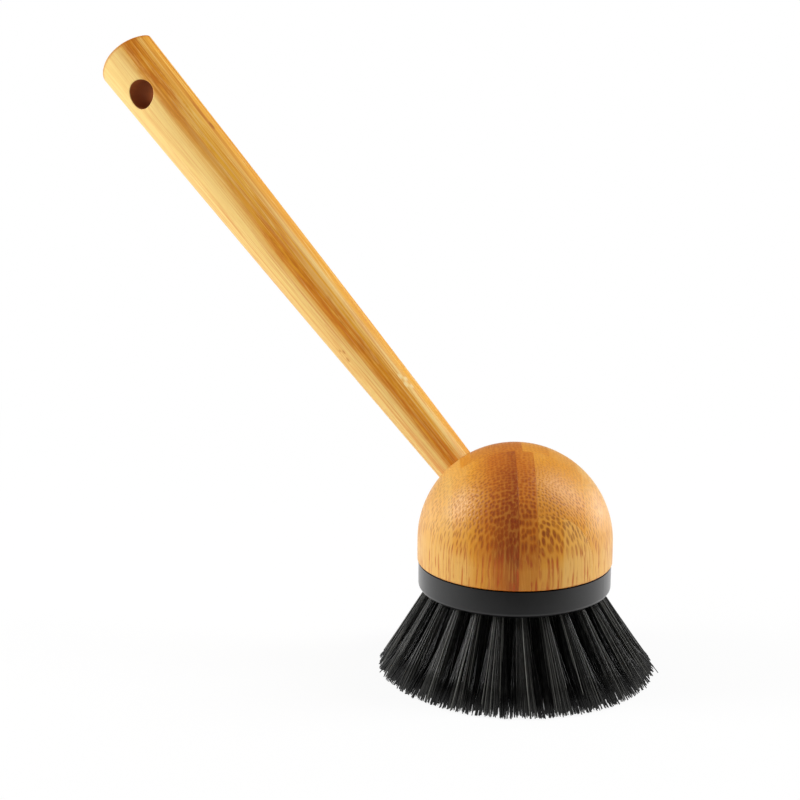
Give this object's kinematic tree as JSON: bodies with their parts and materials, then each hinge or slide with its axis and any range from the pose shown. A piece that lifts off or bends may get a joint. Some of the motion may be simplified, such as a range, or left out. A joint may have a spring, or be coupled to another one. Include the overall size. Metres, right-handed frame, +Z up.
{
  "type": "dish brush",
  "caption": "Dish brush with a slim bamboo handle leaning out of a domed bamboo grip, over a round pull-off brush head with flared black nylon tufts.",
  "frame": {"origin": "on the brush head's axis, at the plane of the bristle tips, where the brush stands", "axes": "+Z up along the head's axis, -X the side that the handle leans to, Y along the hanging hole"},
  "size_m": [0.1819, 0.0812, 0.179],
  "materials": {
    "bamboo": "smooth, lightly oiled",
    "black_plastic": "satin moulded",
    "black_nylon": "drawn filament",
    "steel": "plain"
  },
  "bodies": {
    "brush_head": {"brush_block": "black_plastic", "staples": "steel", "tuft_centre": "black_nylon", "tuft_inner_01": "black_nylon", "tuft_inner_02": "black_nylon", "tuft_inner_03": "black_nylon", "tuft_inner_04": "black_nylon", "tuft_inner_05": "black_nylon", "tuft_inner_06": "black_nylon", "tuft_inner_07": "black_nylon", "tuft_inner_08": "black_nylon", "tuft_middle_01": "black_nylon", "tuft_middle_02": "black_nylon", "tuft_middle_03": "black_nylon", "tuft_middle_04": "black_nylon", "tuft_middle_05": "black_nylon", "tuft_middle_06": "black_nylon", "tuft_middle_07": "black_nylon", "tuft_middle_08": "black_nylon", "tuft_middle_09": "black_nylon", "tuft_middle_10": "black_nylon", "tuft_middle_11": "black_nylon", "tuft_middle_12": "black_nylon", "tuft_middle_13": "black_nylon", "tuft_middle_14": "black_nylon", "tuft_middle_15": "black_nylon", "tuft_middle_16": "black_nylon", "tuft_outer_01": "black_nylon", "tuft_outer_02": "black_nylon", "tuft_outer_03": "black_nylon", "tuft_outer_04": "black_nylon", "tuft_outer_05": "black_nylon", "tuft_outer_06": "black_nylon", "tuft_outer_07": "black_nylon", "tuft_outer_08": "black_nylon", "tuft_outer_09": "black_nylon", "tuft_outer_10": "black_nylon", "tuft_outer_11": "black_nylon", "tuft_outer_12": "black_nylon", "tuft_outer_13": "black_nylon", "tuft_outer_14": "black_nylon", "tuft_outer_15": "black_nylon", "tuft_outer_16": "black_nylon", "tuft_outer_17": "black_nylon", "tuft_outer_18": "black_nylon", "tuft_outer_19": "black_nylon", "tuft_outer_20": "black_nylon", "tuft_outer_21": "black_nylon", "tuft_outer_22": "black_nylon", "tuft_outer_23": "black_nylon", "tuft_outer_24": "black_nylon"},
    "handle": {"handle": "bamboo", "dome": "bamboo", "socket": "black_plastic", "socket_screws": "steel"}
  },
  "joints": [
    {"name": "head_release", "type": "slide", "parent": "brush_head", "child": "handle", "axis": [0, 0, 1], "range_m": [0, 0.025]}
  ]
}
